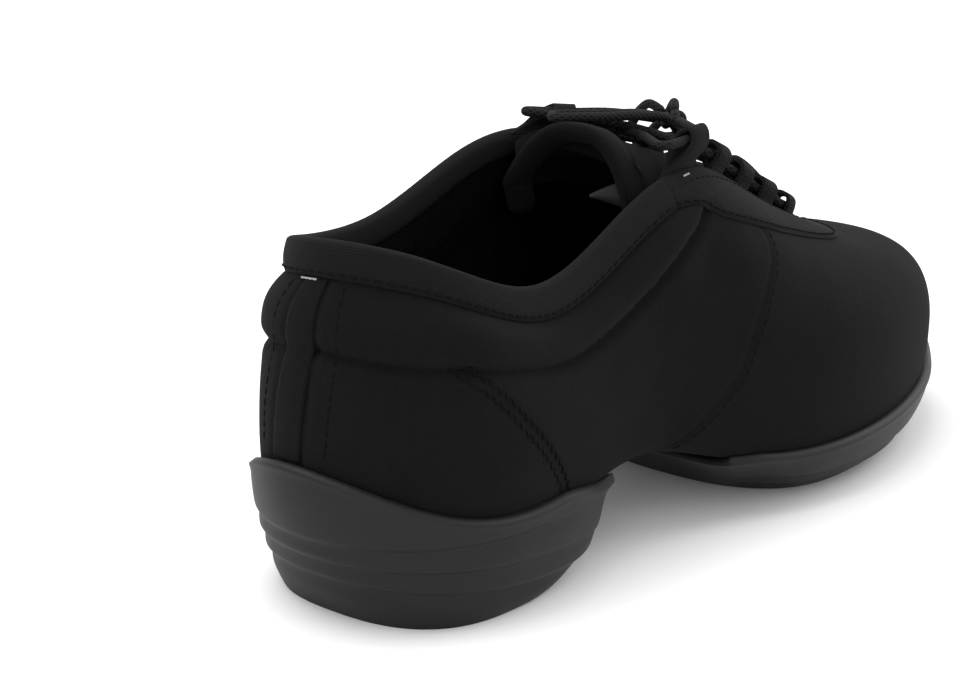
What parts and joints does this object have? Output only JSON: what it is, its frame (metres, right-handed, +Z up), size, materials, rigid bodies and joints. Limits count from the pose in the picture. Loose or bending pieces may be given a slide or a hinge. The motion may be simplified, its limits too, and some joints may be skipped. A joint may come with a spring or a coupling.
{
  "type": "dance sneaker",
  "caption": "Low split-sole dance sneaker with a soft textile upper, padded collar, webbing lace loops and separate heel and forefoot soles.",
  "frame": {"origin": "middle of the heel's flat, on the floor", "axes": "+X to the toe, +Y to the shoe's inner side, +Z up"},
  "size_m": [0.2594, 0.095, 0.107],
  "materials": {
    "knit_fabric": "matte brushed stretch knit",
    "lining_fabric": "matte lining",
    "knit_tape": "ribbed knit tape",
    "webbing": "ribbed woven webbing",
    "lace_cord": "flat woven polyester lace",
    "sole_rubber": "matte moulded rubber"
  },
  "bodies": {
    "root": {"upper": "knit_fabric", "heel_sole": "sole_rubber", "forefoot_sole": "sole_rubber", "insole": "lining_fabric", "tongue": "lining_fabric", "collar_binding": "knit_tape", "eyestay": "knit_tape", "heel_strip": "knit_tape", "top_tab_outer_0": "webbing", "top_tab_inner_0": "webbing", "lace_loop_outer_1": "webbing", "lace_loop_inner_1": "webbing", "lace_loop_outer_2": "webbing", "lace_loop_inner_2": "webbing", "lace_loop_outer_3": "webbing", "lace_loop_inner_3": "webbing", "lace_loop_outer_4": "webbing", "lace_loop_inner_4": "webbing", "lace_crossings": "lace_cord", "lace_knot": "lace_cord", "bow_loop_rear": "lace_cord", "bow_loop_inner": "lace_cord", "lace_end_rear": "lace_cord", "lace_end_front": "lace_cord"}
  },
  "joints": []
}
